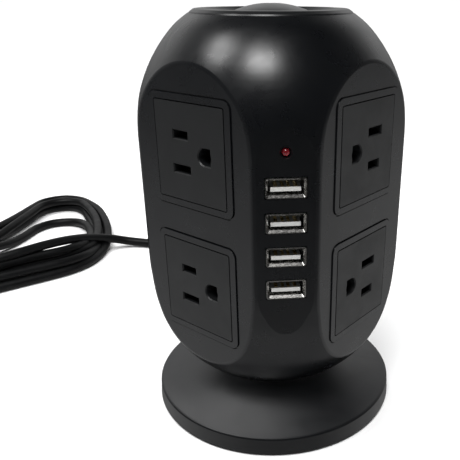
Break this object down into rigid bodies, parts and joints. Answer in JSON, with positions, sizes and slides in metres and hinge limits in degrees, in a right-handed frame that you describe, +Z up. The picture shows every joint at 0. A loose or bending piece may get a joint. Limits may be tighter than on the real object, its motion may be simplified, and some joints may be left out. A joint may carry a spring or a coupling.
{
  "type": "tower power strip",
  "caption": "Barrel-shaped tower power strip on a round foot, with outlets on flat facets, USB ports in the front rib, a push button on top and a mains lead tied in a hank.",
  "frame": {"origin": "centre of the foot's resting plane, on the barrel's axis", "axes": "+Z up along the barrel's axis, -Y out of the rib with the USB ports, +Y out of the rib with the cord, X to the sides"},
  "size_m": [0.3565, 0.3443, 0.1714],
  "materials": {
    "satin_shell": "satin black moulded ABS",
    "cap_plastic": "satin black moulded ABS",
    "button_plastic": "satin black moulded ABS",
    "outlet_plastic": "fine matte black",
    "inner_plastic": "plain moulded",
    "contact_brass": "stamped",
    "circuit_board": "solder mask",
    "core": "ferrite",
    "component": "sleeved",
    "nickel": "nickel plate",
    "tongue_plastic": "off-white",
    "led_lens": "tinted lens",
    "spring_steel": "drawn wire",
    "weight_steel": "plain",
    "foot_rubber": "matte",
    "screw_steel": "plated",
    "cord_pvc": "extruded black PVC jacket",
    "hank_pvc": "extruded black PVC jacket",
    "plug_pvc": "moulded black PVC",
    "plug_brass": "nickel-brass"
  },
  "bodies": {
    "body": {"front_shell": "satin_shell", "rear_shell": "satin_shell", "top_cap": "cap_plastic", "outlet_face_front_left_upper": "outlet_plastic", "outlet_face_front_left_lower": "outlet_plastic", "outlet_face_front_right_upper": "outlet_plastic", "outlet_face_front_right_lower": "outlet_plastic", "outlet_face_rear_right_upper": "outlet_plastic", "outlet_face_rear_right_lower": "outlet_plastic", "outlet_face_rear_left_upper": "outlet_plastic", "outlet_face_rear_left_lower": "outlet_plastic", "contact_tray_front_left": "inner_plastic", "contact_tray_front_right": "inner_plastic", "contact_tray_rear_right": "inner_plastic", "contact_tray_rear_left": "inner_plastic", "live_busbars": "contact_brass", "neutral_busbars": "contact_brass", "earth_busbars": "contact_brass", "bottom_plate": "inner_plastic", "chassis_plate_lower": "inner_plastic", "chassis_plate_upper": "inner_plastic", "power_board": "circuit_board", "usb_board": "circuit_board", "transformer": "core", "capacitors": "component", "varistors": "component", "usb_port_1": "nickel", "usb_port_2": "nickel", "usb_port_3": "nickel", "usb_port_4": "nickel", "usb_tongues": "tongue_plastic", "usb_contacts": "contact_brass", "indicator_led": "led_lens", "power_switch": "inner_plastic", "button_spring": "spring_steel", "base_cover": "satin_shell", "base_weight": "weight_steel", "base_plate": "inner_plastic", "rubber_feet": "foot_rubber", "base_plate_screws": "screw_steel", "neck_screws": "screw_steel", "shell_screws": "screw_steel", "strain_relief": "cord_pvc", "cord_lead": "cord_pvc", "cord_hank": "hank_pvc", "plug_body": "plug_pvc", "plug_blades": "plug_brass", "plug_earth_pin": "plug_brass"},
    "button": {"power_button": "button_plastic"}
  },
  "joints": [
    {"name": "button_push", "type": "slide", "parent": "body", "child": "button", "axis": [0, 0, -1], "range_m": [0, 0.0025], "stiffness_N_per_m": 400, "springref_m": -0.004, "deforming": ["button_spring"]}
  ]
}
